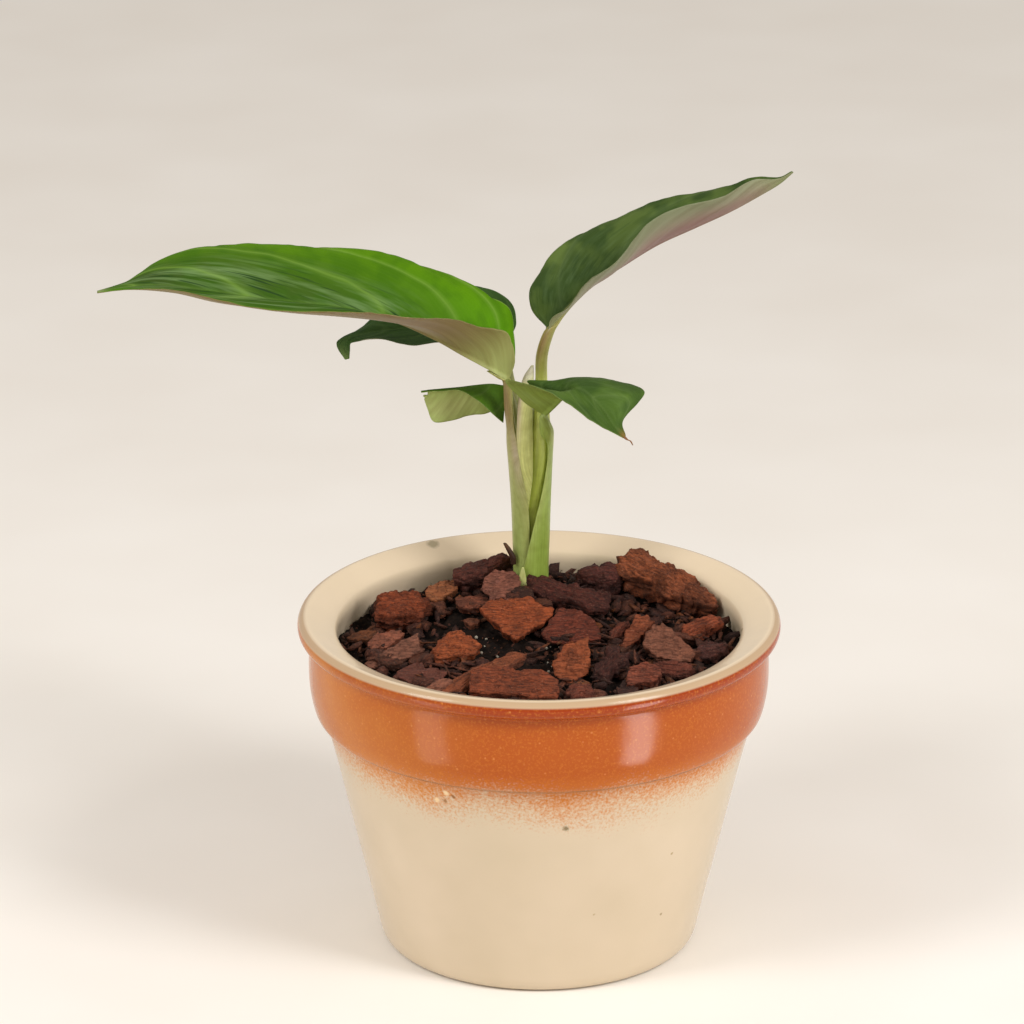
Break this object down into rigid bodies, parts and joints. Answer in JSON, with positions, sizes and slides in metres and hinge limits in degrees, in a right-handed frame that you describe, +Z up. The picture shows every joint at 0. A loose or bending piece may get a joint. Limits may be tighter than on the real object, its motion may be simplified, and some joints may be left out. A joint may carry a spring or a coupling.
{
  "type": "potted calathea plant",
  "caption": "Young calathea with lance-shaped leaves on a sheathed stem, in a round glazed pot with a collar and rolled rim, mulched with bark chips.",
  "frame": {"origin": "centre of the pot's flat foot, on the surface that it stands on", "axes": "+Z up along the pot's axis, +X to the plant's right as seen from the front, +Y away from the viewer"},
  "size_m": [0.199, 0.14, 0.2263],
  "materials": {
    "glaze": "cream and orange glaze, glossy",
    "soil": "dark potting soil with pale specks",
    "mulch": "crumbled bark, rough",
    "orange_bark": "orange-brown bark, rough",
    "red_bark": "red-brown fibrous bark, rough",
    "purple_bark": "purple-brown bark, rough",
    "grey_bark": "grey-brown bark, rough",
    "dark_bark": "dark brown bark, rough",
    "bright_leaf": "bright green leaf, satin",
    "dark_leaf": "dark green leaf, satin",
    "mid_leaf": "mid green leaf, satin",
    "stalk": "pale green stalk, satin",
    "young_leaf": "pale lilac young leaf, matt",
    "bract": "pale yellow-green bract, matt",
    "dry_stub": "dry brown stub, matt"
  },
  "bodies": {
    "root": {"pot": "glaze", "soil": "soil", "bark_flat_orange": "orange_bark", "bark_small_orange": "red_bark", "bark_tiny_orange": "orange_bark", "bark_purple_disc": "purple_bark", "bark_back_left_lump": "dark_bark", "bark_fibrous_left": "red_bark", "bark_light_orange": "orange_bark", "bark_pinkish_left": "purple_bark", "bark_grey_long": "grey_bark", "bark_round_orange": "orange_bark", "bark_purple_front": "purple_bark", "bark_splinter": "orange_bark", "bark_front_red": "red_bark", "bark_upright_brown": "orange_bark", "bark_middle_red": "red_bark", "bark_wrinkled_dark": "dark_bark", "bark_back_right_lump": "dark_bark", "bark_fibrous_right": "red_bark", "bark_long_red": "red_bark", "bark_smooth_grey": "grey_bark", "bark_angular_orange": "orange_bark", "bark_front_small": "red_bark", "bark_front_slab": "red_bark", "bark_right_dark": "dark_bark", "bark_shredded": "dark_bark", "bark_front_corner": "red_bark", "bark_front_splinter": "grey_bark", "bark_right_sliver": "red_bark", "bark_mulch": "mulch", "stalk_left": "stalk", "stalk_folded": "stalk", "stalk_right": "stalk", "stalk_torn": "stalk", "stalk_back": "stalk", "new_leaf": "young_leaf", "dry_stub": "dry_stub", "basal_bract": "bract", "leaf_left": "bright_leaf", "leaf_right": "dark_leaf", "leaf_folded": "mid_leaf", "leaf_torn": "mid_leaf", "leaf_back": "dark_leaf"}
  },
  "joints": []
}
